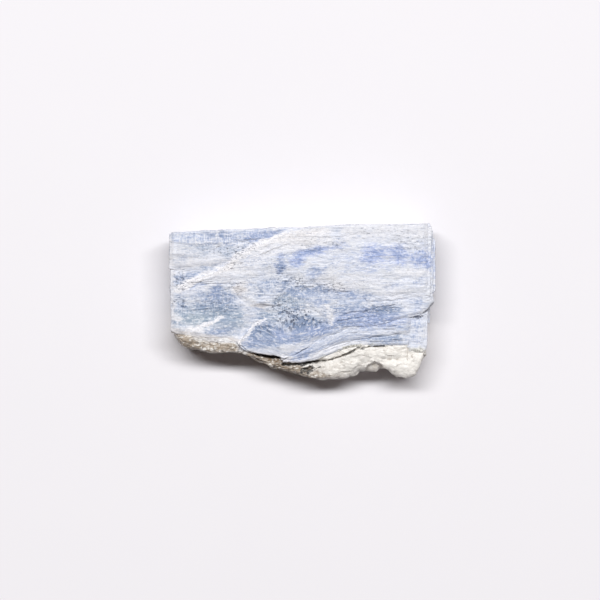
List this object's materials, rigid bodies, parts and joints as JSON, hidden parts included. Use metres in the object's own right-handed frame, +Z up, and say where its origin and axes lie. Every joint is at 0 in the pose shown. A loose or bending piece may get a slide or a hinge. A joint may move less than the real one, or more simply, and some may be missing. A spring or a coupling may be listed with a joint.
{
  "type": "mineral specimen",
  "caption": "Blue and white kyanite blades grown side by side into one slab, with broken edges, on a wedge of cream quartz matrix.",
  "frame": {"origin": "centre of the specimen's outline on the plane that it rests on", "axes": "+X along the blades, +Y towards their straight back edge and away from the quartz, +Z up"},
  "size_m": [0.0669, 0.0394, 0.0125],
  "materials": {
    "kyanite": "pearly",
    "quartz": "sugary"
  },
  "bodies": {
    "root": {"kyanite_blades": "kyanite", "quartz_matrix": "quartz"}
  },
  "joints": []
}
